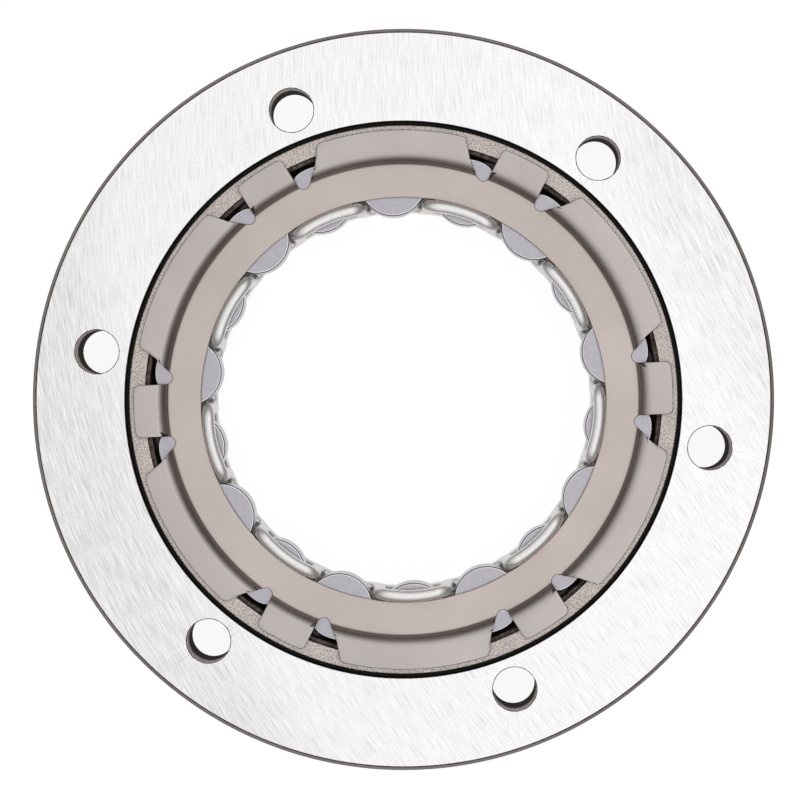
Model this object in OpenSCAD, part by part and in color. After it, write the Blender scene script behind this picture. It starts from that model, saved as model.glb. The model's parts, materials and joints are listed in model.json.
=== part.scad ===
// One-way starter clutch with rollers, lying on its back face with its axis along Z.
// The front, which carries the visible retainer, looks up. Millimetres and degrees.

/* [Hub and rollers] */
// Diameter of the smooth hub that runs inside the rollers
hub_d = 54.7; // [53.7:0.1:56]
// Number of rollers, always even because the wire changes side at each one
roller_n = 18; // [14:2:18]
// Diameter of one roller
roller_d = 10; // [9:0.1:10.2]
// Length of one roller
roller_l = 9.5; // [7:0.5:14]
// Chamfer on the ends of a roller
roller_chamfer = 0.2; // [0.1:0.05:0.6]
// Angle of the first roller, seen from the front
roller_angle = 12.8; // [0:0.1:20]
// Free length between a roller and the retainer that it runs against
end_play = 0.25; // [0.15:0.05:0.6]

/* [Wire cage] */
// Diameter of the spring wire
wire_d = 1.8; // [1.2:0.1:2]
// Gap between the legs of the wire and the inner edge of the retainers
leg_gap = 0.15; // [0.1:0.05:0.4]
// Height of a loop's underside above the retainer that it hooks over
hook_gap = 0.1; // [0.1:0.05:0.5]
// Radius of the bends between the legs and the loops, on the wire's centre
bend_r = 1.6; // [1.3:0.05:2]
// Radius of the outward bow of a loop, on the wire's centre
bow_r = 18; // [14:0.5:30]

/* [Cam race] */
// Wall between the outermost point of the rollers and the bore of the flange
race_wall = 3.95; // [3.5:0.05:4.8]
// Angle between the ramp and the hub where they grip a roller
ramp_angle = 7; // [5:0.5:9]
// Radius of the hollow ramp
ramp_r = 25; // [22:0.5:30]
// Gap left between a roller and its ramp at the gripping end
ramp_clear = 0.08; // [0.04:0.01:0.15]
// Angle from a roller to the step where its ramp ends
ramp_end = 5; // [4:0.25:6]
// Gap between the rollers and the counterbore at each end of the race
counterbore_clear = 1.05; // [0.8:0.05:1.5]
// Depth of each counterbore
counterbore_depth = 2; // [1.6:0.1:3]
// Width of the turned edge left between each counterbore and the ramps
edge_w = 0.53; // [0.3:0.01:0.7]
// Radial width of the lead-in chamfer inside that edge
lead_w = 1.2; // [0.6:0.1:2]
// Depth of the lead-in chamfer
lead_depth = 2; // [1:0.1:3]
// Width of the open groove around the front face of the race
groove_w = 0.55; // [0.2:0.05:1]
// Depth of that groove
groove_depth = 1.8; // [0.8:0.1:4]
// Gap left for the press fit of the race in the flange
race_fit = 0.03; // [0.01:0.01:0.05]
// Chamfer on the outer edges of the race
race_chamfer = 0.3; // [0.1:0.05:0.5]

/* [Flange] */
// Radial width of the flange, from its bore to its outer edge
flange_w = 13.7; // [12.5:0.1:20]
// Chamfer on the outer edges of the flange
flange_chamfer = 0.4; // [0.1:0.05:1]
// Height of the lip behind the race
lip_h = 1.2; // [1:0.05:2]
// Radial width of that lip
lip_w = 0.9; // [0.5:0.05:1.2]
// Depth of the race's front face below the flange's front face
race_sink = 1; // [0.8:0.05:2]
// Small chamfer on the edges of the flange's bore
bore_chamfer = 0.1; // [0.05:0.05:0.3]

/* [Bolt holes] */
// Number of bolt holes
bolt_n = 6; // [3:1:8]
// Diameter of a bolt hole
bolt_hole_d = 6.5; // [5:0.1:8]
// Distance from the flange's bore to the bolt hole centres
bolt_offset = 4.7; // [4.3:0.05:6.5]
// Angle of the first bolt hole
bolt_angle = 51.1; // [0:0.1:60]
// Chamfer on both ends of a bolt hole
bolt_chamfer = 0.2; // [0.1:0.05:0.4]

/* [Retainers] */
// Thickness of the retainers' sheet steel
sheet_t = 0.8; // [0.5:0.05:0.8]
// Distance from the inner edge of a retainer to the hub
retainer_reach = 2.75; // [2.6:0.05:3]
// Depth by which a retainer's ring lies below its tabs
dish = 1.9; // [1.7:0.05:2.4]
// Outer radius of the bend at the foot of the tabs
fold_r = 1.4; // [1:0.05:1.5]
// Inner radius of the sharper bend at the outer edge of the ring
crease_r = 0.2; // [0.1:0.05:0.25]
// Distance from the outer edge of the ring to the outermost point of the rollers
fold_inset = 1.95; // [1.6:0.05:2.5]
// Gap between the ends of the tabs and the lip of the flange
tab_clear = 0.35; // [0.2:0.05:1]
// Number of long tabs, with as many short ones between them
tab_n = 6; // [4:1:6]
// Angle of the first short tab
tab_angle = 2.6; // [0:0.05:60]
// Width of a short tab
short_tab_w = 7.8; // [5:0.05:8.5]
// Width of a long tab at the bend
long_tab_w = 23; // [20:0.1:24]
// Taper of the sides of a long tab, on each side
long_tab_taper = 7.9; // [0:0.1:12]
// Corner radius of the tabs
tab_corner_r = 0.8; // [0.3:0.05:1.5]
// Radius at the foot of the notches between the tabs
notch_r = 1.55; // [1.4:0.05:2.1]

/* [Hidden] */
// Radial stack, from the hub out to the edge of the flange
hub_r = hub_d / 2;
roller_r = roller_d / 2;
pitch_r = hub_r + roller_r;
roller_out_r = hub_r + roller_d;
bore_r = roller_out_r + race_wall;
race_r = bore_r - race_fit;
lip_r = bore_r - lip_w;
flange_r = bore_r + flange_w;
bolt_r = bore_r + bolt_offset;
counterbore_r = roller_out_r + counterbore_clear;
retainer_in_r = hub_r + retainer_reach;
fold_in_r = roller_out_r - fold_inset;
tab_end_r = lip_r - tab_clear;

// Axial stack, from the back face of the flange up to its front face
wire_r = wire_d / 2;
race_h = roller_l + 2 * end_play + 2 * dish;
race_front = lip_h + race_h;
race_mid = lip_h + race_h / 2;
flange_h = race_front + race_sink;
ring_rear = lip_h + dish;
ring_front = race_front - dish;
roller_z = ring_rear + end_play;
rear_loop_z = ring_rear - sheet_t - hook_gap - wire_r;
front_loop_z = ring_front + sheet_t + hook_gap + wire_r;

// Plan of the wire: its legs stand midway between the rollers
roller_pitch = 360 / roller_n;
leg_r = retainer_in_r - leg_gap - wire_r;
leg_x = leg_r * cos(roller_pitch / 2);
leg_y = leg_r * sin(roller_pitch / 2);
bow_angle = asin(leg_y / norm([bow_r, bend_r])) - atan2(bend_r, bow_r);
bow_x = leg_x - bow_r * cos(bow_angle) + bend_r * sin(bow_angle);

// Plan of the ramps: centre of the hollow arc that grips the roller at angle zero
ramp_reach = ramp_r - roller_r - ramp_clear;
ramp_centre = [pitch_r - ramp_reach * cos(ramp_angle), -ramp_reach * sin(ramp_angle)];

// Lap of the straight and bowed stretches of the wire into its bends, which are drawn out thinner
wire_lap = 0.05;
bend_thinning = 0.005;

ramp_lap = 1;
overcut = 1;
round_fn = 180;
small_fn = 60;
wire_fn = 36;
fold_steps = 6;
corner_steps = 4;
notch_steps = 10;

function roller_name(i) = str("roller_", i < 10 ? "0" : "", i);

// Points of an arc from angle a to angle b
function arc(centre, r, a, b, steps) =
    [for (i = [0:steps]) centre + r * [cos(a + (b - a) * i / steps), sin(a + (b - a) * i / steps)]];

function turned(p, a) = [p.x * cos(a) - p.y * sin(a), p.x * sin(a) + p.y * cos(a)];

// Ring with its outline in radius and height
module revolved(outline, fn = round_fn) {
    rotate_extrude($fn = fn) polygon(outline);
}

// Straight hole with a chamfer at both ends
module chamfered_hole(d, h, c) {
    translate([0, 0, -overcut]) cylinder(d = d, h = h + 2 * overcut, $fn = small_fn);
    for (end = [0, 1])
        translate([0, 0, end * h]) mirror([0, 0, end])
            translate([0, 0, -overcut])
                cylinder(d1 = d + 2 * (c + overcut), d2 = d, h = c + overcut, $fn = small_fn);
}

module outer_flange() {
    c = flange_chamfer;
    b = bore_chamfer;
    color([0.87, 0.87, 0.88])
        difference() {
            revolved([
                [lip_r + b, 0], [flange_r - c, 0], [flange_r, c],
                [flange_r, flange_h - c], [flange_r - c, flange_h],
                [bore_r + b, flange_h], [bore_r, flange_h - b],
                [bore_r, lip_h], [lip_r, lip_h], [lip_r, b]
            ]);
            for (i = [0:bolt_n - 1])
                rotate(bolt_angle + i * 360 / bolt_n) translate([bolt_r, 0, 0])
                    chamfered_hole(bolt_hole_d, flange_h, bolt_chamfer);
        }
}

// Hollow that one roller runs in. It starts at the step behind the roller, and ends at the next step,
// where it laps into the deeper start of the next hollow
module ramp_hollow() {
    first = ramp_end - roller_pitch;
    last = ramp_end + ramp_lap;
    near_r = pitch_r - overcut;
    far_r = race_r + overcut;
    intersection() {
        translate([ramp_centre.x, ramp_centre.y, lip_h - overcut])
            cylinder(r = ramp_r, h = race_h + 2 * overcut, $fn = round_fn);
        translate([0, 0, lip_h - overcut])
            linear_extrude(race_h + 2 * overcut)
                polygon([
                    near_r * [cos(first), sin(first)], far_r * [cos(first), sin(first)],
                    far_r * [cos(last), sin(last)], near_r * [cos(last), sin(last)]
                ]);
    }
}

// Counterbore and lead-in chamfer at the front end of the race
module race_end_cut() {
    floor_z = race_front - counterbore_depth;
    lead_r = counterbore_r - edge_w;
    revolved([
        [pitch_r - overcut, race_front + overcut], [counterbore_r, race_front + overcut],
        [counterbore_r, floor_z], [lead_r, floor_z], [lead_r - lead_w, floor_z - lead_depth],
        [pitch_r - overcut, floor_z - lead_depth]
    ]);
}

module cam_race() {
    groove_r = bore_r - groove_w;
    c = race_chamfer;
    color([0.69, 0.65, 0.63])
        difference() {
            revolved([
                [pitch_r, lip_h], [race_r - c, lip_h], [race_r, lip_h + c],
                [race_r, race_front - groove_depth], [groove_r, race_front - groove_depth],
                [groove_r, race_front - c], [groove_r - c, race_front], [pitch_r, race_front]
            ]);
            for (i = [0:roller_n - 1])
                rotate(roller_angle + i * roller_pitch) ramp_hollow();
            race_end_cut();
            translate([0, 0, race_mid]) mirror([0, 0, 1]) translate([0, 0, -race_mid]) race_end_cut();
        }
}

// Centre of the rounded corner at the end of a tab whose side starts at p and leans in by taper
function corner_centre(p, taper) =
    let (q = p - tab_corner_r * [sin(taper), cos(taper)], along = q * [cos(taper), -sin(taper)],
        t = -along + sqrt(along * along - q * q + pow(tab_end_r - tab_corner_r, 2)))
    q + t * [cos(taper), -sin(taper)];

// Corner of a tab, from its end to its side
function tab_corner(p, taper) =
    let (c = corner_centre(p, taper))
    arc(c, tab_corner_r, atan2(c.y, c.x), 90 - taper, corner_steps);

// Notch between a short tab, whose middle is at angle zero, and the long tab beside it
function notch_outline() =
    let (foot_x = fold_in_r + sheet_t, to_long = 180 / tab_n, far_r = tab_end_r + 2 * overcut,
        short_side = [foot_x, short_tab_w / 2], long_side = [foot_x - sheet_t, long_tab_w / 2],
        short_n = [0, 1], long_start = turned([long_side.x, -long_side.y], to_long),
        long_n = turned([sin(long_tab_taper), -cos(long_tab_taper)], to_long),
        d1 = short_n * short_side + notch_r, d2 = long_n * long_start + notch_r,
        det = short_n.x * long_n.y - short_n.y * long_n.x,
        foot = [(d1 * long_n.y - d2 * short_n.y) / det, (d2 * short_n.x - d1 * long_n.x) / det],
        long_turn = atan2(-long_n.y, -long_n.x),
        short_corner = tab_corner(short_side, 0),
        long_corner = [for (p = tab_corner(long_side, long_tab_taper)) turned([p.x, -p.y], to_long)],
        short_end = short_corner[0], long_end = long_corner[0])
    concat(
        [short_end * far_r / norm(short_end)],
        short_corner,
        arc(foot, notch_r, 270, long_turn, notch_steps),
        [for (i = [len(long_corner) - 1:-1:0]) long_corner[i]],
        [long_end * far_r / norm(long_end)]
    );

// Dished sheet ring with its tabs folded over the race, drawn for the front
module retainer() {
    top = ring_front + sheet_t;
    crease = [fold_in_r - crease_r, top + crease_r];
    fold = [fold_in_r + fold_r, race_front + sheet_t - fold_r];
    difference() {
        revolved(concat(
            [[retainer_in_r, ring_front]],
            arc(crease, crease_r + sheet_t, -90, 0, fold_steps),
            arc(fold, fold_r - sheet_t, 180, 90, fold_steps),
            [[tab_end_r, race_front], [tab_end_r, race_front + sheet_t]],
            arc(fold, fold_r, 90, 180, fold_steps),
            arc(crease, crease_r, 0, -90, fold_steps),
            [[retainer_in_r, top]]
        ));
        for (i = [0:tab_n - 1], side = [0, 1])
            rotate(tab_angle + i * 360 / tab_n) mirror([0, side, 0])
                translate([0, 0, ring_front - overcut])
                    linear_extrude(dish + sheet_t + 2 * overcut) polygon(notch_outline());
    }
}

module front_retainer() {
    color([0.77, 0.72, 0.69]) retainer();
}

module rear_retainer() {
    color([0.77, 0.72, 0.69])
        translate([0, 0, race_mid]) mirror([0, 0, 1]) translate([0, 0, -race_mid]) retainer();
}

// Bend of the wire from an upright leg at the origin to level, towards +X and going up
module wire_bend() {
    translate([bend_r, 0, 0]) rotate([90, 0, 0])
        rotate_extrude(angle = 90, start = 90, $fn = small_fn)
            translate([bend_r, 0]) circle(r = wire_r - bend_thinning, $fn = wire_fn);
}

// One loop over a roller at angle zero, with its two bends, at height z and turned up or down
module wire_loop(z, down) {
    half = bow_angle + wire_lap / bow_r * 180 / PI;
    translate([bow_x, 0, z])
        rotate_extrude(angle = 2 * half, start = -half, $fn = small_fn)
            translate([bow_r, 0]) circle(r = wire_r, $fn = wire_fn);
    for (side = [0, 1])
        mirror([0, side, 0]) translate([leg_x, leg_y, z]) mirror([0, 0, down])
            translate([0, 0, -bend_r]) rotate(bow_angle - 90) wire_bend();
}

module roller_cage() {
    leg_bottom = rear_loop_z + bend_r - wire_lap;
    leg_top = front_loop_z - bend_r + wire_lap;
    color([0.88, 0.87, 0.86])
        for (i = [0:roller_n - 1])
            rotate(roller_angle + i * roller_pitch) {
                if (i % 2 == 0) wire_loop(rear_loop_z, 1);
                else wire_loop(front_loop_z, 0);
                translate([leg_x, leg_y, leg_bottom])
                    cylinder(r = wire_r, h = leg_top - leg_bottom, $fn = wire_fn);
            }
}

// Roller number i, counted from one; the even ones have a loop of the wire in front of them
module roller(i) {
    c = roller_chamfer;
    color([0.66, 0.62, 0.65])
        rotate(roller_angle + (i - 1) * roller_pitch) translate([pitch_r, 0, roller_z])
            revolved([
                [0, 0], [roller_r - c, 0], [roller_r, c],
                [roller_r, roller_l - c], [roller_r - c, roller_l], [0, roller_l]
            ], small_fn);
}

outer_flange();
cam_race();
front_retainer();
rear_retainer();
roller_cage();
for (i = [1:roller_n])
    roller(i);
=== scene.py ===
"""Looks of a one-way starter clutch with rollers. Metres; its front, with the visible retainer, looks up."""

import json
import math

import bmesh
import bpy
from mathutils import Matrix, Vector


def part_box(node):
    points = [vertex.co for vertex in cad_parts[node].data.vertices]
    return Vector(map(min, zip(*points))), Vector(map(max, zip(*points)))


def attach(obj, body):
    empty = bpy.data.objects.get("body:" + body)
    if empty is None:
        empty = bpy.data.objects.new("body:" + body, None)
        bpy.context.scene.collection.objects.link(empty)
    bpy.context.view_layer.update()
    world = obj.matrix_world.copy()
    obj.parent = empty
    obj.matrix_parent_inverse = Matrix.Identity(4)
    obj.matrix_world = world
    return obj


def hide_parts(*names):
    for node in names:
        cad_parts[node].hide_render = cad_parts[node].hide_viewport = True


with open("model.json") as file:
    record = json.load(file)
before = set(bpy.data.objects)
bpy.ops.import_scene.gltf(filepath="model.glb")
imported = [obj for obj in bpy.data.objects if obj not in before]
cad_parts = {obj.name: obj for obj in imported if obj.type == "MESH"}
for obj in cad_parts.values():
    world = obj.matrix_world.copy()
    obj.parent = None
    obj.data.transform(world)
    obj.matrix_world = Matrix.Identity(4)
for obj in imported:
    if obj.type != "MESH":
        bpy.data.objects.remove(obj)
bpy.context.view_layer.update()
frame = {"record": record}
record = frame["record"]

MM = 0.001
TURN = 2 * math.pi

# Sizes that the frame gives
mounts = {mount["name"]: mount for mount in record["mounts"]}
joints = {joint["name"]: joint for joint in record["behaviour"]["joints"]}
rollers = sorted(body for body in record["behaviour"]["bodies"] if body.startswith("roller_"))
axes = [Vector(joints[name + "_spin"]["pos_m"]) for name in rollers]
pitch = TURN / len(rollers)
first_roller = math.atan2(axes[0].y, axes[0].x)
pitch_r = axes[0].xy.length
mid_z = axes[0].z


def round_node(node):
    """Radius, underside and top of a round CAD node."""
    low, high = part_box(node)
    return max(high.x, high.y), low.z, high.z


flange_r, _, flange_top = round_node("outer_flange")
race_r, race_bottom, race_top = round_node("cam_race")
tab_end_r, ring_underside, tab_top = round_node("front_retainer")
roller_low, roller_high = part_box("roller_01")
roller_r = (roller_high.x - roller_low.x) / 2
hub_r = mounts["hub_seat"]["dims"]["r_mm"] * MM
hole_r = mounts["bolt_circle"]["dims"]["hole_r_mm"] * MM
holes = []
for opening in record["physics"]["openings"]:
    if opening["name"].startswith("bolt_hole"):
        holes.append((Vector(opening["box_m"][0]) + Vector(opening["box_m"][1])) / 2)

# Sides of the round shapes and steps of the curves
RING_SIDES = 288
HOLE_SIDES = 72
ROLLER_SIDES = 96
WIRE_SIDES = 24
RAMP_STEPS = 24
RING_STEPS = 4
CREASE_STEPS = 6
FOLD_STEPS = 12
CORNER_STEPS = 6
NOTCH_STEPS = 14
BEND_STEPS = 10
BOW_STEPS = 10

# Slack of a height, and of a radius on a many-sided round
SLACK = 0.002 * MM
ROUND_SLACK = 0.02 * MM

# Flange, with the ragged edge that the drill leaves around its bolt holes
BORE_R = 41.3 * MM
LIP_R = 40.4 * MM
CHAMFER = 0.5 * MM
SOFT_EDGE = 0.12 * MM
BORE_CHAMFER = 0.1 * MM
HOLE_CHAMFER = 0.12 * MM
HOLE_EDGE_R = hole_r + 1.5 * HOLE_CHAMFER
RAGGED = 0.05 * MM
RAGGED_SEED = 3

# Race, with the ledge in its counterbores and the lead-in below the ledge
RACE_CHAMFER = 0.2 * MM
GROOVE_R = BORE_R - 0.55 * MM
GROOVE_DEPTH = 1.8 * MM
COUNTERBORE_R = 38.4 * MM
COUNTERBORE_DEPTH = 2 * MM
LEDGE_W = 0.53 * MM
LEAD_W = 1.2 * MM
LEAD_DEPTH = 2 * MM

# Hollow ramps of the race
RAMP_R = 25 * MM
RAMP_CLEAR = 0.08 * MM
RAMP_ANGLE = math.radians(7)
RAMP_END = math.radians(5)

# Retainers
SHEET = 0.8 * MM
FOLD_R = 1.72 * MM
CREASE_R = 0.2 * MM
RETAINER_IN_R = hub_r + 2.75 * MM
FOLD_IN_R = hub_r + 2 * roller_r - 2.2 * MM
SIDE_FROM_R = FOLD_IN_R + 0.25 * MM
TABS = 6
TAB_ANGLE = math.radians(2.6)
SHORT_TAB = 7.8 * MM
LONG_TAB = 23 * MM
TAPER = math.radians(7.9)
TAB_CORNER = 0.8 * MM
NOTCH_R = 0.95 * MM
NOTCH_IN_R = FOLD_IN_R - 0.95 * MM
SHEET_EDGE = 0.14 * MM
CUT_PAST = 2 * MM

# Crown of the tabs, which drop by these shares of it in even steps from the fold to the end
CROWN = 0.1 * MM
CROWN_DROPS = (0.15, 0.3, 0.55)

# Where the sheet's painted shade begins and is full in the crease, thins on the fold and ends on the tabs
CREASE_SHADE_FROM_R = FOLD_IN_R - CREASE_R - 0.08 * MM
CREASE_SHADE_FULL_R = FOLD_IN_R - CREASE_R + 0.04 * MM
CREASE_SHADE_THIN_R = FOLD_IN_R + 0.4 * MM
CREASE_SHADE_FAINT_R = FOLD_IN_R + 1.25 * MM
CREASE_SHADE_END_R = FOLD_IN_R + 2.2 * MM

# Wire cage
WIRE_R = 0.9 * MM
BEND_R = 1.6 * MM
BOW_R = 18 * MM
LEG_R = RETAINER_IN_R - 0.21 * MM - WIRE_R
HOOK_GAP = 0.1 * MM

# Rollers
ROLLER_CHAMFER = 0.16 * MM
# The band around the roller ends carries a painted highlight
ROLLER_HIGHLIGHT_W = 0.22 * MM
ROLLER_CROWN = 0.055 * MM

# Strokes of the grinding across the flange's face, which bend more beyond the clutch's axis
STROKE_ANGLE = math.radians(116)
STROKE_R = 244 * MM
STROKE_END_R = 101 * MM

# Camera, above the front and a little to the upper right of the axis
CAMERA_AT = Vector((5.14, 4.86, 666)) * MM
LOOKS_AT = Vector((-0.475, -0.04, 16)) * MM
LENS = 197.3
SENSOR = 36
CLIP_END = 20

# Light of the floor: as the camera sees it, and as the metal mirrors it far away, within the bore and close
# to the clutch, where it is dimmed as painted shade.
# Under the rollers and the race a painted shadow darkens it, which begins and ends in a thin step
FLOOR_WIDTH = 8
FLOOR_REACH = 200 * MM
FLOOR_FAR = 160 * MM
FLOOR_STEP = 1.01
FLOOR_SEEN = 0.93
FLOOR_IN_SHADE = 0.01
FLOOR_MIRRORED = 0.6
FLOOR_IN_BORE = 0.78
FLOOR_SHADED = 0.25
SHADE_IN_R = hub_r + 1.2 * MM

WHITE = (1, 1, 1)


# Modelling helpers
def deselect_all():
    bpy.ops.object.select_all(action="DESELECT")


def only(obj):
    """Selects one object and makes it active."""
    deselect_all()
    obj.select_set(True)
    bpy.context.view_layer.objects.active = obj


def start(name):
    """Names the new primitive, puts its place into its mesh and opens it in edit mode."""
    obj = bpy.context.object
    obj.name = name
    obj.data.name = name
    bpy.ops.object.transform_apply(location=True, rotation=True, scale=True)
    bpy.ops.object.mode_set(mode="EDIT")
    bpy.ops.mesh.select_mode(type="VERT")
    return obj


def start_bar(name, sides, radius, bottom, top, x=0, y=0):
    """Adds an upright round bar between two heights and opens it in edit mode."""
    deselect_all()
    bpy.ops.mesh.primitive_cylinder_add(
        vertices=sides, radius=radius, depth=top - bottom, location=(x, y, (bottom + top) / 2))
    return start(name)


def done():
    bpy.ops.object.mode_set(mode="OBJECT")


def near(a, b, slack=SLACK):
    return abs(a - b) < slack


def pick(obj, kind, test):
    """In edit mode, selects only the vertices, edges or faces that pass a test."""
    bpy.ops.mesh.select_mode(type=kind)
    bpy.ops.mesh.select_all(action="DESELECT")
    mesh = bmesh.from_edit_mesh(obj.data)
    items = {"VERT": mesh.verts, "EDGE": mesh.edges, "FACE": mesh.faces}[kind]
    for item in items:
        if test(item):
            item.select_set(True)
    mesh.select_flush_mode()
    bmesh.update_edit_mesh(obj.data)


def at_heights(edge, *heights):
    """Whether an edge lies level at one of the heights."""
    return any(all(near(v.co.z, height) for v in edge.verts) for height in heights)


def rims(*places):
    """Test for the edges of round rims about the clutch's axis, each given by its radius and height."""
    def on_rim(edge, radius, height):
        return at_heights(edge, height) and all(near(v.co.xy.length, radius, ROUND_SLACK) for v in edge.verts)
    return lambda edge: any(on_rim(edge, radius, height) for radius, height in places)


def facing(way, height):
    """Test for the level faces at a height that look up or down."""
    return lambda face: face.normal.z * way > 0.9 and near(face.calc_center_median().z, height)


def push(x=0, y=0, z=0):
    """Extrudes what is selected."""
    bpy.ops.mesh.extrude_region_move(TRANSFORM_OT_translate={"value": (x, y, z)})


def soften(obj, width, steps, test):
    """Bevels the edges that pass a test."""
    pick(obj, "EDGE", test)
    bpy.ops.mesh.bevel(offset=width, offset_type="OFFSET", segments=steps, profile=0.5, affect="EDGES")


def face_outwards():
    """In edit mode, turns all faces outwards."""
    bpy.ops.mesh.select_all(action="SELECT")
    bpy.ops.mesh.normals_make_consistent(inside=False)


def prism(name, outline, bottom, top):
    """Upright prism on an outline of points."""
    deselect_all()
    bpy.ops.mesh.primitive_circle_add(vertices=len(outline), radius=MM, fill_type="NGON")
    solid = start(name)
    mesh = bmesh.from_edit_mesh(solid.data)
    mesh.verts.ensure_lookup_table()
    for vertex, point in zip(mesh.verts, outline):
        vertex.co = (point.x, point.y, bottom)
    bmesh.update_edit_mesh(solid.data)
    bpy.ops.mesh.select_all(action="SELECT")
    push(z=top - bottom)
    face_outwards()
    done()
    return solid


def apply_all(obj):
    """Applies the modifiers."""
    only(obj)
    for modifier in list(obj.modifiers):
        bpy.ops.object.modifier_apply(modifier=modifier.name)


def cut(obj, cutter):
    """Takes the cutter out of the object."""
    modifier = obj.modifiers.new("cut", "BOOLEAN")
    modifier.operation = "DIFFERENCE"
    modifier.solver = "EXACT"
    modifier.object = cutter
    apply_all(obj)
    bpy.data.objects.remove(cutter)


def copy_of(obj, name):
    """Copy with its own mesh."""
    twin = obj.copy()
    twin.data = obj.data.copy()
    twin.name = name
    twin.data.name = name
    bpy.context.collection.objects.link(twin)
    return twin


def join(objs):
    deselect_all()
    for obj in objs:
        obj.select_set(True)
    bpy.context.view_layer.objects.active = objs[0]
    bpy.ops.object.join()
    return objs[0]


def turn(obj, matrix):
    """Turns, moves or mirrors the mesh itself, so that the object stays at the origin."""
    obj.data.transform(matrix)
    if matrix.determinant() < 0:
        obj.data.flip_normals()


def smooth(obj, angle=40):
    """Shades smooth, but for the edges that are sharper than the angle in degrees."""
    only(obj)
    bpy.ops.object.shade_smooth_by_angle(angle=math.radians(angle))
    weigh = obj.modifiers.new("weigh", "WEIGHTED_NORMAL")
    weigh.keep_sharp = True
    apply_all(obj)


# Turn about the clutch's axis, and the mirrors across its middle and across the X axis
def about_axis(angle):
    return Matrix.Rotation(angle, 4, "Z")


front_to_rear = Matrix.Translation((0, 0, 2 * mid_z)) @ Matrix.Scale(-1, 4, (0, 0, 1))
side_to_side = Matrix.Scale(-1, 4, (0, 1, 0))


# Flange
def to_hole(place):
    """Distance of a place from the nearest bolt hole's axis."""
    return min((place.xy - hole.xy).length for hole in holes)


def hole_rim(edge):
    """Test for the edges of the bolt holes' rims."""
    level = at_heights(edge, 0, flange_top)
    return level and all(near(to_hole(v.co), hole_r, ROUND_SLACK) for v in edge.verts)


def bolt_cutters():
    cutters = []
    for hole in holes:
        cutters.append(start_bar(
            "bolt_cutter", HOLE_SIDES, hole_r, -flange_top / 2, 1.5 * flange_top, hole.x, hole.y))
        done()
    return join(cutters)


def make_flange():
    """Ring with the bore, the lip that the race seats on, and the bolt holes."""
    ring = start_bar("flange_ring", RING_SIDES, flange_r, 0, flange_top)
    pick(ring, "FACE", facing(1, flange_top))
    bpy.ops.mesh.inset(thickness=flange_r - BORE_R, depth=0)
    push(z=race_bottom - flange_top)
    bpy.ops.mesh.inset(thickness=BORE_R - LIP_R, depth=0)
    bpy.ops.mesh.delete(type="FACE")
    pick(ring, "FACE", facing(-1, 0))
    bpy.ops.mesh.inset(thickness=flange_r - LIP_R, depth=0)
    bpy.ops.mesh.delete(type="FACE")
    pick(ring, "EDGE", lambda edge: edge.is_boundary)
    bpy.ops.mesh.bridge_edge_loops()
    done()
    cut(ring, bolt_cutters())
    bpy.ops.object.mode_set(mode="EDIT")
    soften(ring, HOLE_CHAMFER, 2, hole_rim)
    soften(ring, CHAMFER, 1, rims((flange_r, flange_top), (flange_r, 0)))
    soften(ring, SOFT_EDGE, 2, rims(
        (flange_r, flange_top - CHAMFER), (flange_r, CHAMFER),
        (flange_r - CHAMFER, flange_top), (flange_r - CHAMFER, 0)))
    soften(ring, BORE_CHAMFER, 2, rims((BORE_R, flange_top), (LIP_R, 0)))
    pick(ring, "FACE", lambda face: abs(face.normal.z) > 0.999)
    bpy.ops.mesh.quads_convert_to_tris(quad_method="BEAUTY", ngon_method="BEAUTY")
    bpy.ops.mesh.beautify_fill(angle_limit=math.radians(1))
    pick(ring, "VERT", lambda v: to_hole(v.co) < HOLE_EDGE_R and near(v.co.z, flange_top))
    bpy.ops.transform.vertex_random(offset=RAGGED, uniform=0, normal=0, seed=RAGGED_SEED)
    bpy.ops.transform.resize(value=(1, 1, 0), center_override=(0, 0, flange_top))
    done()
    return ring


# Race
def ramp_radius(angle):
    """Distance from the axis to the hollow ramp, at an angle from its roller."""
    reach = RAMP_R - roller_r - RAMP_CLEAR
    centre = Vector((pitch_r - reach * math.cos(RAMP_ANGLE), -reach * math.sin(RAMP_ANGLE)))
    along = centre.dot(Vector((math.cos(angle), math.sin(angle))))
    return along + math.sqrt(along * along - centre.length_squared + RAMP_R * RAMP_R)


def ramp_cutter():
    """Prism whose wall follows all the hollow ramps and the steps between them."""
    outline = []
    for i in range(len(rollers)):
        for step in range(RAMP_STEPS):
            angle = RAMP_END - pitch + pitch * step / (RAMP_STEPS - 1)
            way = first_roller + i * pitch + angle
            outline.append(ramp_radius(angle) * Vector((math.cos(way), math.sin(way))))
    return prism("ramp_cutter", outline, -flange_top, 2 * flange_top)


def counterbore(race, way, height, outer_r):
    """Turns the counterbore and its lead-in chamfer into one end of the race."""
    pick(race, "FACE", facing(way, height))
    bpy.ops.mesh.inset(thickness=outer_r - COUNTERBORE_R, depth=0)
    push(z=-way * COUNTERBORE_DEPTH)
    bpy.ops.mesh.inset(thickness=LEDGE_W, depth=0)
    push(z=-way * LEAD_DEPTH)
    narrower = 1 - LEAD_W / (COUNTERBORE_R - LEDGE_W)
    bpy.ops.transform.resize(value=(narrower, narrower, 1))


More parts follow.
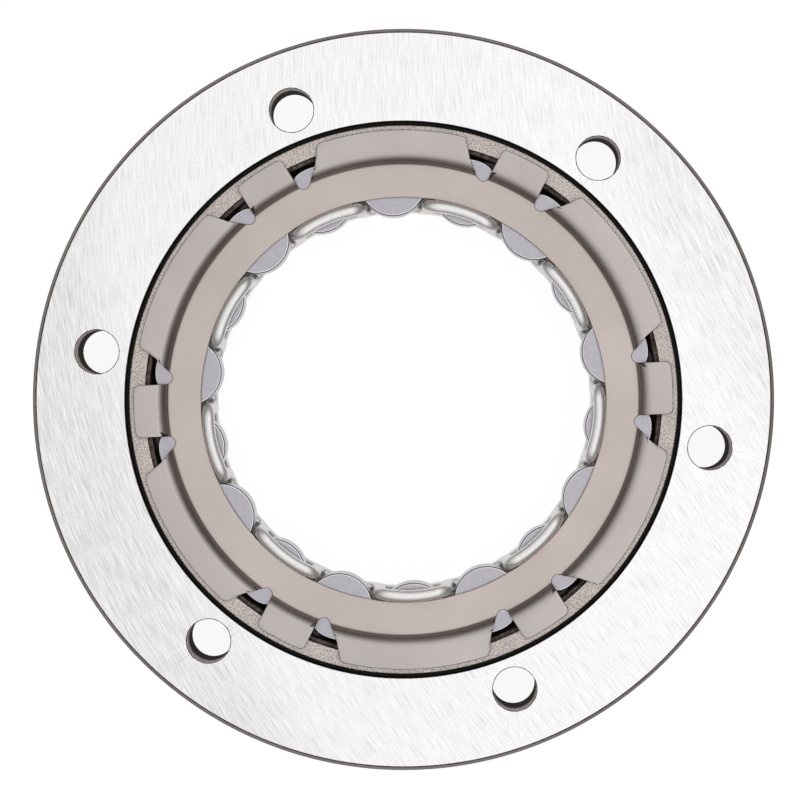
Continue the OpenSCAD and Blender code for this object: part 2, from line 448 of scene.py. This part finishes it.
def make_race():
    """Ring with a groove round its front edge, a counterbore at each end and the hollow ramps."""
    shoulder = race_top - GROOVE_DEPTH
    race = start_bar("race_ring", RING_SIDES, race_r, race_bottom, shoulder)
    pick(race, "FACE", facing(1, shoulder))
    bpy.ops.mesh.inset(thickness=race_r - GROOVE_R, depth=0)
    push(z=GROOVE_DEPTH)
    counterbore(race, 1, race_top, GROOVE_R)
    counterbore(race, -1, race_bottom, race_r)
    soften(race, RACE_CHAMFER, 2, rims((GROOVE_R, race_top), (race_r, race_bottom)))
    soften(race, SOFT_EDGE, 2, rims(
        (COUNTERBORE_R, race_top), (COUNTERBORE_R, race_bottom),
        (COUNTERBORE_R - LEDGE_W, race_top - COUNTERBORE_DEPTH),
        (COUNTERBORE_R - LEDGE_W, race_bottom + COUNTERBORE_DEPTH)))
    done()
    cut(race, ramp_cutter())
    return race


# Retainers
def arc(centre, radius, first, last, steps):
    """Points of an arc, from one angle to another."""
    angles = [first + (last - first) * i / steps for i in range(steps + 1)]
    return [centre + radius * Vector((math.cos(a), math.sin(a))) for a in angles]


def turned(point, angle):
    return Matrix.Rotation(angle, 2) @ point


def mirrored(point):
    return Vector((point.x, -point.y))


def tab_corner(foot, taper):
    """Rounded corner at the end of a tab, from its end to its side."""
    side = Vector((math.cos(taper), -math.sin(taper)))
    middle = foot - TAB_CORNER * Vector((math.sin(taper), math.cos(taper)))
    along = middle.dot(side)
    reach = (tab_end_r - TAB_CORNER) ** 2 - middle.length_squared
    centre = middle + (math.sqrt(along * along + reach) - along) * side
    return arc(centre, TAB_CORNER, math.atan2(centre.y, centre.x), math.pi / 2 - taper, CORNER_STEPS)


def notch_outline():
    """Outline of the notch beside a short tab whose middle is at angle zero."""
    to_long = math.pi / TABS
    beyond = tab_end_r + CUT_PAST
    short_side = Vector((SIDE_FROM_R + SHEET, SHORT_TAB / 2))
    long_side = Vector((SIDE_FROM_R, LONG_TAB / 2))
    long_start = turned(mirrored(long_side), to_long)
    foot = Vector((NOTCH_IN_R + NOTCH_R, short_side.y + NOTCH_R))
    back = foot - long_start
    long_turn = math.atan2(back.y, back.x) - math.asin(NOTCH_R / back.length) + 1.5 * math.pi
    short_corner = tab_corner(short_side, 0)
    long_corner = [turned(mirrored(point), to_long) for point in tab_corner(long_side, TAPER)]
    points = [short_corner[0].normalized() * beyond] + short_corner
    points += arc(foot, NOTCH_R, 1.5 * math.pi, long_turn, NOTCH_STEPS) + [long_start]
    points += long_corner[::-1] + [long_corner[0].normalized() * beyond]
    return points


def notch_cutter():
    """The notches on both sides of every short tab, as upright prisms."""
    one_side = prism("notch_cutter", notch_outline(), ring_underside - CUT_PAST, tab_top + CUT_PAST)
    other_side = copy_of(one_side, "notch_cutter")
    turn(other_side, side_to_side)
    both = join([one_side, other_side])
    turn(both, about_axis(TAB_ANGLE))
    cutters = [both]
    for i in range(1, TABS):
        cutters.append(copy_of(both, "notch_cutter"))
        turn(cutters[-1], about_axis(i * TURN / TABS))
    return join(cutters)


def make_retainer():
    """Dished sheet ring with its tabs folded over the race, for the front."""
    ring_top = ring_underside + SHEET
    crown_top = tab_top + CROWN
    across = FOLD_IN_R - CREASE_R - RETAINER_IN_R
    deselect_all()
    bpy.ops.mesh.primitive_plane_add(size=MM, location=(RETAINER_IN_R, 0, ring_top))
    sheet = start("retainer_sheet")
    bpy.ops.mesh.merge(type="CENTER")
    for _ in range(RING_STEPS):
        push(x=across / RING_STEPS)
    crease_centre = (FOLD_IN_R - CREASE_R, 0, ring_top + CREASE_R)
    bpy.ops.mesh.spin(steps=CREASE_STEPS, angle=math.pi / 2, center=crease_centre, axis=(0, 1, 0))
    push(z=crown_top - FOLD_R - ring_top - CREASE_R)
    fold_centre = (FOLD_IN_R + FOLD_R, 0, crown_top - FOLD_R)
    bpy.ops.mesh.spin(steps=FOLD_STEPS, angle=math.pi / 2, center=fold_centre, axis=(0, -1, 0))
    for drop in CROWN_DROPS:
        push(x=(tab_end_r - FOLD_IN_R - FOLD_R) / len(CROWN_DROPS), z=-drop * CROWN)
    bpy.ops.mesh.select_all(action="SELECT")
    bpy.ops.mesh.spin(steps=RING_SIDES, angle=TURN, center=(0, 0, 0), axis=(0, 0, 1))
    bpy.ops.mesh.select_all(action="SELECT")
    bpy.ops.mesh.remove_doubles(threshold=0.5 * SLACK)
    face_outwards()
    done()
    if sum(face.normal.z for face in sheet.data.polygons) < 0:
        sheet.data.flip_normals()
    thicken = sheet.modifiers.new("thicken", "SOLIDIFY")
    thicken.thickness = SHEET
    thicken.offset = -1
    thicken.use_even_offset = True
    apply_all(sheet)
    cut(sheet, notch_cutter())
    bpy.ops.object.mode_set(mode="EDIT")
    soften(sheet, SHEET_EDGE, 3, lambda edge: edge.is_manifold and edge.calc_face_angle() > math.radians(50))
    done()
    return sheet


# Wire cage
def make_cage():
    """One closed wire that hooks over the rollers in turn at the front and at the rear."""
    half = pitch / 2
    leg = LEG_R * Vector((math.cos(half), math.sin(half)))
    loop_z = ring_underside + SHEET + HOOK_GAP + WIRE_R
    sweep = math.asin(leg.y / math.hypot(BOW_R, BEND_R)) - math.atan2(BEND_R, BOW_R)
    bow_x = leg.x - BOW_R * math.cos(sweep) + BEND_R * math.sin(sweep)
    heading = sweep - math.pi / 2
    way = Vector((math.cos(heading), math.sin(heading), 0))
    bend_centre = leg.to_3d() + BEND_R * way + Vector((0, 0, loop_z - BEND_R))
    bend_axis = way.cross(Vector((0, 0, 1)))
    deselect_all()
    bpy.ops.mesh.primitive_circle_add(
        vertices=WIRE_SIDES, radius=WIRE_R, location=(leg.x, leg.y, mid_z), rotation=(0, 0, half))
    half_loop = start("wire_cage")
    bpy.ops.mesh.select_all(action="SELECT")
    push(z=loop_z - BEND_R - mid_z)
    bpy.ops.mesh.spin(steps=BEND_STEPS, angle=math.pi / 2, center=bend_centre, axis=bend_axis)
    bpy.ops.mesh.spin(steps=BOW_STEPS, angle=sweep, center=(bow_x, 0, loop_z), axis=(0, 0, 1))
    done()
    other_half = copy_of(half_loop, "wire_half")
    turn(other_half, side_to_side)
    loop = join([half_loop, other_half])
    turn(loop, about_axis(first_roller))
    loops = [loop]
    for i in range(1, len(rollers)):
        loops.append(copy_of(loop, "wire_loop"))
        turn(loops[-1], about_axis(i * pitch))
    for rear_loop in loops[::2]:
        turn(rear_loop, front_to_rear)
    wire = join(loops)
    only(wire)
    bpy.ops.object.mode_set(mode="EDIT")
    bpy.ops.mesh.select_all(action="SELECT")
    bpy.ops.mesh.remove_doubles(threshold=2.5 * SLACK)
    face_outwards()
    done()
    return wire


# Rollers
def make_roller(axis):
    """Roller with crowned ends and dull chamfers, about its own axis."""
    rim_low, rim_high = roller_low.z + ROLLER_CROWN, roller_high.z - ROLLER_CROWN
    roller = start_bar("roller", ROLLER_SIDES, roller_r, rim_low, rim_high, axis.x, axis.y)
    pick(roller, "FACE", lambda face: abs(face.normal.z) > 0.9)
    bpy.ops.mesh.inset(thickness=ROLLER_HIGHLIGHT_W, depth=ROLLER_CROWN)
    soften(roller, ROLLER_CHAMFER, 2, lambda edge: at_heights(edge, rim_low, rim_high))
    done()
    return roller


# Materials
def node_of(tree, kind, **values):
    """Adds a shader node and sets its values."""
    node = tree.nodes.new("ShaderNode" + kind)
    for name, value in values.items():
        setattr(node, name, value)
    return node


def steel(name, colour, roughness):
    """Plain steel, its shader and its object coordinates, for the patterns to join."""
    material = bpy.data.materials.new(name)
    material.use_nodes = True
    tree = material.node_tree
    shader = tree.nodes["Principled BSDF"]
    shader.inputs["Metallic"].default_value = 1
    shader.inputs["Base Color"].default_value = (*colour, 1)
    shader.inputs["Roughness"].default_value = roughness
    place = node_of(tree, "TexCoord").outputs["Object"]
    return material, tree, shader, place


def no_mirror(shader, specular):
    """Steel that mirrors little, for walls that stand in shade."""
    shader.inputs["Metallic"].default_value = 0
    shader.inputs["Specular IOR Level"].default_value = specular


def stretched(tree, place, scale, angle=0):
    """Object coordinates, turned about the axis and stretched."""
    mapping = node_of(tree, "Mapping")
    mapping.inputs["Rotation"].default_value = (0, 0, angle)
    mapping.inputs["Scale"].default_value = scale
    tree.links.new(place, mapping.inputs["Vector"])
    return mapping.outputs["Vector"]


def parts_of(tree, vector):
    """The X, Y and Z of a vector."""
    parts = node_of(tree, "SeparateXYZ")
    tree.links.new(vector, parts.inputs["Vector"])
    return parts.outputs["X"], parts.outputs["Y"], parts.outputs["Z"]


def math_of(tree, operation, *values):
    """Works out a sum from numbers and sockets."""
    node = node_of(tree, "Math", operation=operation)
    for socket, value in zip(node.inputs, values):
        if isinstance(value, (int, float)):
            socket.default_value = value
        else:
            tree.links.new(value, socket)
    return node.outputs[0]


def noise(tree, vector, scale, detail=2, rough=0.5):
    node = node_of(tree, "TexNoise")
    node.inputs["Scale"].default_value = scale
    node.inputs["Detail"].default_value = detail
    node.inputs["Roughness"].default_value = rough
    tree.links.new(vector, node.inputs["Vector"])
    return node.outputs["Fac"]


def ramp(tree, value, stops):
    """Colour ramp through (position, grey or colour) stops."""
    node = node_of(tree, "ValToRGB")
    elements = node.color_ramp.elements
    while len(elements) < len(stops):
        elements.new(0.5)
    for element, (position, colour) in zip(elements, stops):
        element.position = position
        if isinstance(colour, (int, float)):
            colour = (colour,) * 3
        element.color = (*colour, 1)
    tree.links.new(value, node.inputs["Fac"])
    return node.outputs["Color"]


def mixed(tree, weight, first, second, way="MIX"):
    """Mixes two colours by a weight, which is a number or a socket."""
    node = node_of(tree, "Mix", data_type="RGBA", blend_type=way)
    if isinstance(weight, (int, float)):
        node.inputs["Factor"].default_value = weight
    else:
        tree.links.new(weight, node.inputs["Factor"])
    for socket, value in (("A", first), ("B", second)):
        target = [s for s in node.inputs if s.name == socket and s.type == "RGBA"][0]
        if isinstance(value, tuple):
            target.default_value = (*value, 1)
        else:
            tree.links.new(value, target)
    return [s for s in node.outputs if s.type == "RGBA"][0]


def times(tree, first, second):
    return mixed(tree, 1, first, second, "MULTIPLY")


def layered(tree, *layers):
    """Tone of several patterns on top of each other, each with its own stops."""
    tones = [ramp(tree, pattern, stops) for pattern, stops in layers]
    tone = tones[0]
    for other in tones[1:]:
        tone = times(tree, tone, other)
    return tone


def from_axis(tree, place, reach):
    """Distance from the clutch's axis, as a share of a reach."""
    flat = node_of(tree, "VectorMath", operation="MULTIPLY")
    flat.inputs[1].default_value = (1 / reach, 1 / reach, 0)
    tree.links.new(place, flat.inputs[0])
    length = node_of(tree, "VectorMath", operation="LENGTH")
    tree.links.new(flat.outputs["Vector"], length.inputs[0])
    return length.outputs["Value"]


def colour_by(tree, shader, colour):
    tree.links.new(colour, shader.inputs["Base Color"])


def roughen(tree, shader, pattern, stops):
    """Lets the roughness follow a pattern."""
    tree.links.new(ramp(tree, pattern, stops), shader.inputs["Roughness"])


def bump(tree, shader, height, strength, distance):
    node = node_of(tree, "Bump")
    node.inputs["Strength"].default_value = strength
    node.inputs["Distance"].default_value = distance
    tree.links.new(height, node.inputs["Height"])
    tree.links.new(node.outputs["Normal"], shader.inputs["Normal"])


def bent(tree, distance, bend, across):
    """Adds the drop of an arc, bend times the square of a distance, to a coordinate."""
    square = math_of(tree, "MULTIPLY", distance, distance)
    return math_of(tree, "MULTIPLY_ADD", square, bend, across)


def grinding_lines(tree, place):
    """Coordinates that run across and along the sweeping arcs of a ground face."""
    straight = stretched(tree, place, (1, 1, 1), math.pi / 2 - STROKE_ANGLE)
    across, along, _ = parts_of(tree, straight)
    beyond_axis = math_of(tree, "MAXIMUM", along, 0)
    wide_bend, tight_bend = -0.5 / STROKE_R, -0.5 / STROKE_END_R
    across = bent(tree, along, wide_bend, across)
    across = bent(tree, beyond_axis, tight_bend - wide_bend, across)
    vector = node_of(tree, "CombineXYZ")
    tree.links.new(across, vector.inputs["X"])
    tree.links.new(along, vector.inputs["Y"])
    return vector.outputs["Vector"]


def sheen_shade_sides(tree, lines):
    """Share of painted shade, which is greatest at the two sides that lie along the strokes, where the ground
    face's sheen falls off.
    """
    across, _, _ = parts_of(tree, stretched(tree, lines, (0.5 / flange_r, 1, 1)))
    from_side = math_of(tree, "ADD", across, 0.5)
    return ramp(tree, from_side, [(0.1, 1.0), (0.18, 0.0), (0.87, 0.0), (0.94, 0.65)])


def ground_steel():
    """Bright face of the flange, ground in long arcs, with streaks darkened at two sides as painted shade of
    the sheen.
    """
    material, tree, shader, place = steel("ground_steel", (0.95, 0.95, 0.95), 0.32)
    lines = grinding_lines(tree, place)
    fine = noise(tree, stretched(tree, lines, (6000, 260, 1)), 1, 2, 0.6)
    deep = noise(tree, stretched(tree, lines, (6200, 180, 1)), 1, 3, 0.7)
    long_lines = noise(tree, stretched(tree, lines, (1500, 60, 1)), 1, 2, 0.5)
    cloud = noise(tree, place, 45, 2, 0.5)
    grain = noise(tree, place, 3000, 2, 0.6)
    tone = layered(
        tree,
        (fine, [(0.34, 0.85), (0.55, 1.0)]),
        (long_lines, [(0.3, 0.985), (0.65, 1.0)]),
        (cloud, [(0.35, 0.985), (0.65, 1.0)]),
        (grain, [(0.38, 0.95), (0.55, 1.0)]))
    # Painted shade: darker streaks at the two sides where the brushed sheen falls off
    sheen_shaded_streaks = ramp(tree, deep, [(0.36, 0.73), (0.58, 0.99)])
    tone = times(tree, tone, mixed(tree, sheen_shade_sides(tree, lines), WHITE, sheen_shaded_streaks))
    colour_by(tree, shader, times(tree, tone, (0.995, 0.985, 0.995)))
    roughen(tree, shader, fine, [(0.3, 0.35), (0.7, 0.29)])
    bump(tree, shader, fine, 0.04, 0.02 * MM)
    return material


def turned_steel(name, colour):
    """Lathe-turned outside of the flange; a darker copy of it on the rim chamfer is painted shade."""
    material, tree, shader, place = steel(name, colour, 0.5)
    rings = noise(tree, stretched(tree, place, (60, 60, 2600)), 1, 2, 0.6)
    tone = ramp(tree, rings, [(0.3, 0.78), (0.7, 1.0)])
    colour_by(tree, shader, times(tree, tone, colour))
    bump(tree, shader, rings, 0.25, 0.02 * MM)
    return material


def brown_shade_steel():
    """Dark brown, painted shade on edges and in the counterbores, where they lie in shadow."""
    material, tree, shader, place = steel("brown_shade_steel", (0.11, 0.085, 0.075), 0.5)
    patches = noise(tree, place, 1400, 3, 0.6)
    dark, light = (0.055, 0.042, 0.038), (0.2, 0.155, 0.135)
    colour_by(tree, shader, ramp(tree, patches, [(0.35, dark), (0.65, light)]))
    return material


def drilled_steel():
    """Walls of the bolt holes, dull, with the marks of the drill, and painted darker towards the back as
    shade deep in the holes.
    """
    material, tree, shader, place = steel("drilled_steel", (0.4, 0.34, 0.31), 0.6)
    no_mirror(shader, 0.2)
    marks = noise(tree, stretched(tree, place, (260, 260, 2400)), 1, 2, 0.6)
    dull = ramp(tree, marks, [(0.32, (0.7, 0.62, 0.59)), (0.68, (1.0, 0.93, 0.9))])
    # Painted shade: the walls darken towards the back of the holes
    _, _, height = parts_of(tree, stretched(tree, place, (1, 1, 1 / flange_top)))
    deep_shade = ramp(tree, height, [(0.38, 0.02), (0.55, 0.1), (0.7, 1.0)])
    colour_by(tree, shader, times(tree, dull, deep_shade))
    bump(tree, shader, marks, 0.3, 0.03 * MM)
    return material


def black_shade_steel():
    """Near black, painted shade in the groove, in the bore and in the hollows behind the rollers."""
    material, tree, shader, place = steel("black_shade_steel", (0.012, 0.011, 0.01), 0.4)
    no_mirror(shader, 0.25)
    shade_mottle = noise(tree, place, 900, 2, 0.5)
    dark, light = (0.008, 0.0075, 0.007), (0.02, 0.018, 0.017)
    colour_by(tree, shader, ramp(tree, shade_mottle, [(0.3, dark), (0.7, light)]))
    return material


def speckled_steel():
    """Hardened race face with its fine light and dark grain."""
    material, tree, shader, place = steel("speckled_steel", (0.43, 0.38, 0.36), 0.5)
    grain = noise(tree, place, 4200, 3, 0.7)
    cloud = noise(tree, place, 500, 2, 0.5)
    tone = layered(
        tree,
        (grain, [(0.37, 0.36), (0.5, 0.83), (0.6, 1.0)]),
        (cloud, [(0.3, 0.88), (0.7, 1.0)]))
    colour_by(tree, shader, times(tree, tone, (0.8, 0.71, 0.665)))
    bump(tree, shader, grain, 0.35, 0.02 * MM)
    return material


def pressed_steel():
    """Satin sheet of the retainers, beige on the ring and grey on the tabs, with painted shade in the crease
    and on the fold.
    """
    material, tree, shader, place = steel("pressed_steel", (0.55, 0.48, 0.45), 0.36)
    cloud = noise(tree, place, 70, 3, 0.5)
    grain = noise(tree, place, 5200, 2, 0.6)
    beige, crease_shade = (0.59, 0.517, 0.478), (0.28, 0.238, 0.22)
    faint_shade_grey, grey = (0.532, 0.4855, 0.4703), (0.56, 0.511, 0.495)
    # The dark stops in the crease and on the fold are painted shade
    stops = [
        (CREASE_SHADE_FROM_R, beige), (CREASE_SHADE_FULL_R, crease_shade), (CREASE_SHADE_THIN_R, crease_shade), (CREASE_SHADE_FAINT_R, faint_shade_grey),
        (CREASE_SHADE_END_R, grey)]
    distance = from_axis(tree, place, flange_r)
    across = ramp(tree, distance, [(radius / flange_r, colour) for radius, colour in stops])
    tone = layered(tree, (cloud, [(0.35, 0.95), (0.65, 1.0)]), (grain, [(0.35, 0.95), (0.65, 1.0)]))
    colour_by(tree, shader, times(tree, tone, across))
    roughen(tree, shader, cloud, [(0.3, 0.42), (0.7, 0.34)])
    bump(tree, shader, grain, 0.08, 0.01 * MM)
    return material


def spring_wire():
    """Drawn wire, satin and light."""
    material, tree, shader, place = steel("spring_wire", (0.8, 0.79, 0.775), 0.42)
    drawn = noise(tree, place, 2600, 2, 0.6)
    dark, light = (0.83, 0.815, 0.8), (0.93, 0.92, 0.905)
    colour_by(tree, shader, ramp(tree, drawn, [(0.35, dark), (0.65, light)]))
    bump(tree, shader, drawn, 0.08, 0.01 * MM)
    return material


def roller_steel():
    """Ground and polished rollers."""
    material, tree, shader, place = steel("roller_steel", (0.5, 0.475, 0.51), 0.25)
    grain = noise(tree, place, 1500, 2, 0.5)
    dark, light = (0.445, 0.425, 0.465), (0.47, 0.45, 0.49)
    colour_by(tree, shader, ramp(tree, grain, [(0.35, dark), (0.65, light)]))
    roughen(tree, shader, grain, [(0.35, 0.26), (0.65, 0.22)])
    return material


def bright_edge():
    """Painted highlight: near white band around the ends of the rollers."""
    material, tree, shader, place = steel("bright_edge", (0.97, 0.97, 0.98), 0.18)
    grain = noise(tree, place, 2500, 2, 0.5)
    roughen(tree, shader, grain, [(0.35, 0.22), (0.65, 0.15)])
    return material


def dark_edge():
    """Dull chamfers of the rollers, painted dark as shade."""
    material, tree, shader, place = steel("dark_edge", (0.14, 0.13, 0.145), 0.5)
    grain = noise(tree, place, 2500, 2, 0.5)
    dark, light = (0.11, 0.1, 0.115), (0.18, 0.17, 0.185)
    colour_by(tree, shader, ramp(tree, grain, [(0.35, dark), (0.65, light)]))
    return material


# Which finish goes where
def flange_face(face):
    """Ground if level, black painted shade in the bore, drilled in the holes, a darker turned copy as painted
    shade on the rim chamfer and dark brown painted shade at other edges, else turned.
    """
    upright = abs(face.normal.z) < 0.1
    radius = face.center.xy.length
    if abs(face.normal.z) > 0.985:
        return "ground"
    if radius < BORE_R + 0.5 * BORE_CHAMFER:
        return "black_shade"
    if to_hole(face.center) < HOLE_EDGE_R:
        return "drilled" if upright else "brown_shade"
    if radius < BORE_R + 2 * BORE_CHAMFER:
        return "brown_shade"
    if near(radius, flange_r - CHAMFER / 2, CHAMFER / 2 - SOFT_EDGE):
        return "rim_chamfer_shade"
    return "turned" if upright else "brown_shade"


def race_face(face):
    """Speckled on the end faces, dark brown painted shade in the counterbores, black painted shade in the
    groove and the hollows.
    """
    radius = face.center.xy.length
    if abs(face.normal.z) < 0.3:
        return "brown_shade" if near(radius, COUNTERBORE_R, 0.1 * MM) else "black_shade"
    if radius < COUNTERBORE_R - 0.5 * SOFT_EDGE:
        return "brown_shade"
    return "black_shade" if near(face.center.z, race_top - GROOVE_DEPTH) else "speckled"


def roller_face(face):
    """Painted highlight around the ends, painted shade on the dull chamfers, polished elsewhere."""
    level = abs(face.normal.z)
    if level < 0.1 or level > 0.99:
        return "polished"
    return "bright" if level > 0.93 else "dull"


def dress(obj, finishes, choose=None):
    """Gives a piece its named materials; choose names the one of a face, or the first goes on all."""
    names = list(finishes)
    obj.data.materials.clear()
    for material in finishes.values():
        obj.data.materials.append(material)
    for face in obj.data.polygons:
        face.material_index = names.index(choose(face)) if choose else 0


def finish_piece(obj, name, body, node):
    """Names a piece, hides the CAD node it stands in for and puts it under its body."""
    obj.name = name
    obj.data.name = name
    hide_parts(node)
    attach(obj, body)


def build():
    """Makes and finishes every piece of the clutch."""
    # Near black and dark brown steels, painted shade for walls and edges in shadow
    black_shade, brown_shade = black_shade_steel(), brown_shade_steel()
    flange = make_flange()
    smooth(flange, 20)
    dress(flange, {
        "ground": ground_steel(),
        "turned": turned_steel("turned_steel", (0.76, 0.685, 0.67)),
        "black_shade": black_shade,
        "drilled": drilled_steel(),
        "brown_shade": brown_shade,
        # The rim chamfer's darker copy of the turned steel is painted shade
        "rim_chamfer_shade": turned_steel("rim_chamfer_shade_steel", (0.47, 0.415, 0.41)),
    }, flange_face)
    finish_piece(flange, "ground_flange_ring", "housing", "outer_flange")
    race = make_race()
    smooth(race)
    dress(race, {"speckled": speckled_steel(), "black_shade": black_shade, "brown_shade": brown_shade}, race_face)
    finish_piece(race, "hardened_cam_race", "housing", "cam_race")
    front = make_retainer()
    smooth(front)
    dress(front, {"pressed": pressed_steel()})
    rear = copy_of(front, "rear_retainer_sheet")
    turn(rear, front_to_rear)
    finish_piece(front, "front_retainer_sheet", "housing", "front_retainer")
    finish_piece(rear, "rear_retainer_sheet", "housing", "rear_retainer")
    cage = make_cage()
    smooth(cage, 60)
    dress(cage, {"drawn": spring_wire()})
    finish_piece(cage, "serpentine_wire", "cage", "roller_cage")
    # The bright band and the dark chamfers are painted highlight and painted shade
    roller_finishes = {"polished": roller_steel(), "bright": bright_edge(), "dull": dark_edge()}
    for name, axis in zip(rollers, axes):
        roller = make_roller(axis)
        smooth(roller, 12)
        dress(roller, roller_finishes, roller_face)
        finish_piece(roller, "polished_" + name, name, name)


# Studio
def make_floor():
    """Pale floor that the camera and the metal see by its own light, with a painted shadow under the rollers
    and the race and painted shade where the metal mirrors it close to the clutch.
    """
    deselect_all()
    bpy.ops.mesh.primitive_plane_add(size=FLOOR_WIDTH)
    floor = start("floor")
    done()
    material = bpy.data.materials.new("pale_floor")
    material.use_nodes = True
    tree = material.node_tree
    shader = tree.nodes["Principled BSDF"]
    shader.inputs["Base Color"].default_value = (0.12, 0.12, 0.12, 1)
    shader.inputs["Roughness"].default_value = 0.9
    shader.inputs["Emission Color"].default_value = (*WHITE, 1)
    path = node_of(tree, "LightPath")
    distance = from_axis(tree, node_of(tree, "TexCoord").outputs["Object"], FLOOR_REACH)
    shade_in, shade_out = SHADE_IN_R / FLOOR_REACH, BORE_R / FLOOR_REACH
    close, far = flange_r / FLOOR_REACH, FLOOR_FAR / FLOOR_REACH
    # Painted shadow: a dark ring on the floor under the rollers and the race
    seen = ramp(tree, distance, [
        (0, FLOOR_SEEN), (shade_in, FLOOR_SEEN), (FLOOR_STEP * shade_in, FLOOR_IN_SHADE),
        (shade_out, FLOOR_IN_SHADE), (FLOOR_STEP * shade_out, FLOOR_SEEN)])
    # Painted shade: the floor as the metal mirrors it is dimmer close to the clutch
    in_metal = ramp(tree, distance, [
        (0, FLOOR_IN_BORE), (shade_in, FLOOR_IN_BORE), (FLOOR_STEP * shade_in, FLOOR_SHADED),
        (close, FLOOR_SHADED), (far, FLOOR_MIRRORED)])
    mirrored_glow = math_of(tree, "MULTIPLY", path.outputs["Is Glossy Ray"], in_metal)
    glow = math_of(tree, "MULTIPLY_ADD", path.outputs["Is Camera Ray"], seen, mirrored_glow)
    tree.links.new(glow, shader.inputs["Emission Strength"])
    floor.data.materials.append(material)


def make_world():
    """Soft studio surround, brightest overhead, with darker and lighter bands from -X to +X."""
    world = bpy.data.worlds.new("studio")
    bpy.context.scene.world = world
    world.use_nodes = True
    tree = world.node_tree
    backdrop = tree.nodes["Background"]
    along_x, _, up = parts_of(tree, node_of(tree, "TexCoord").outputs["Generated"])
    overhead = ramp(tree, up, [(0.0, 0.2), (0.3, 0.34), (0.55, 0.68), (0.8, 0.92), (0.95, 1.0)])
    across = math_of(tree, "MULTIPLY_ADD", along_x, 0.5, 0.5)
    sideways = ramp(tree, across, [
        (0.0, 0.85), (0.2, 0.7), (0.37, 0.65), (0.63, 0.98), (0.8, 0.7), (1.0, 0.35)])
    light = times(tree, times(tree, overhead, sideways), (1.28, 1.28, 1.28))
    in_camera = node_of(tree, "LightPath").outputs["Is Camera Ray"]
    tree.links.new(mixed(tree, in_camera, light, WHITE), backdrop.inputs["Color"])
    backdrop.inputs["Strength"].default_value = 1


def make_camera():
    """Camera whose picture has +Y upwards."""
    camera = bpy.data.objects.new("camera", bpy.data.cameras.new("camera"))
    bpy.context.collection.objects.link(camera)
    ahead = (LOOKS_AT - CAMERA_AT).normalized()
    right = ahead.cross(Vector((0, 1, 0))).normalized()
    up = right.cross(ahead)
    camera.matrix_world = Matrix.Translation(CAMERA_AT) @ Matrix((right, up, -ahead)).transposed().to_4x4()
    camera.data.sensor_width = SENSOR
    camera.data.lens = LENS
    camera.data.clip_end = CLIP_END
    bpy.context.scene.camera = camera


bpy.context.scene.view_settings.view_transform = "Standard"
make_camera()
build()
make_floor()
make_world()
